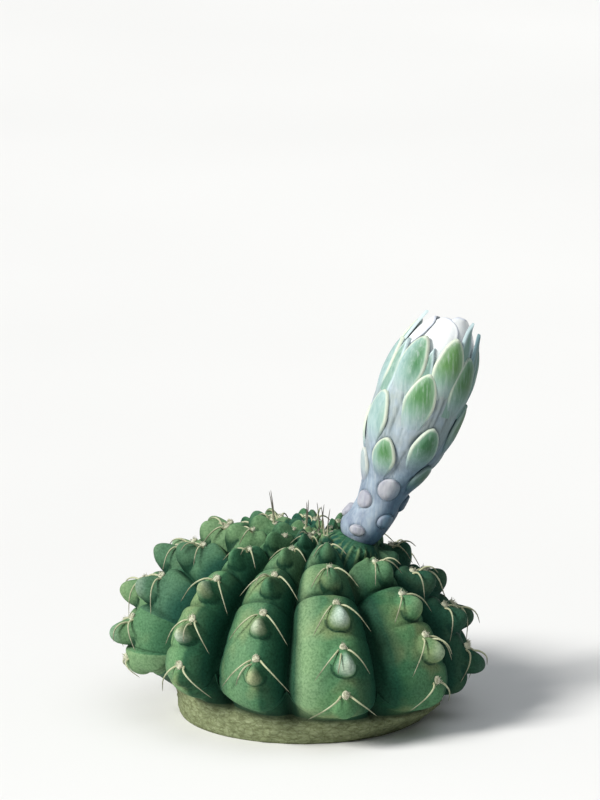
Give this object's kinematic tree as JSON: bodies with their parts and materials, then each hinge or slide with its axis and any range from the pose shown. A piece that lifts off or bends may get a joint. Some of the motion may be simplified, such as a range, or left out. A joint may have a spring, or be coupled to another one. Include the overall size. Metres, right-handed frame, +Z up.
{
  "type": "chin cactus",
  "caption": "Flattened globe cactus with broad ribs, a chin under each spine cushion, curved spines and one tall scaly flower bud; stands on its flat corky base.",
  "frame": {"origin": "middle of the flat corky base, on the surface that the plant stands on", "axes": "+Z up along the bud and the ribs' height, -Y towards the front of the painting's view, +X to its right, where the bud leans"},
  "size_m": [0.0952, 0.0935, 0.1034],
  "materials": {
    "stem_skin": "matt green skin, bluish on the chins, corky grey-tan at the base",
    "bud_scales": "waxy blue-grey tube with green scales edged in white",
    "petal": "soft white petals",
    "spine": "hard straw-coloured spines with darker tips",
    "areole_wool": "short whitish felt"
  },
  "bodies": {
    "root": {"stem": "stem_skin", "flower_tube": "bud_scales", "inner_petals": "petal"}
  },
  "joints": []
}
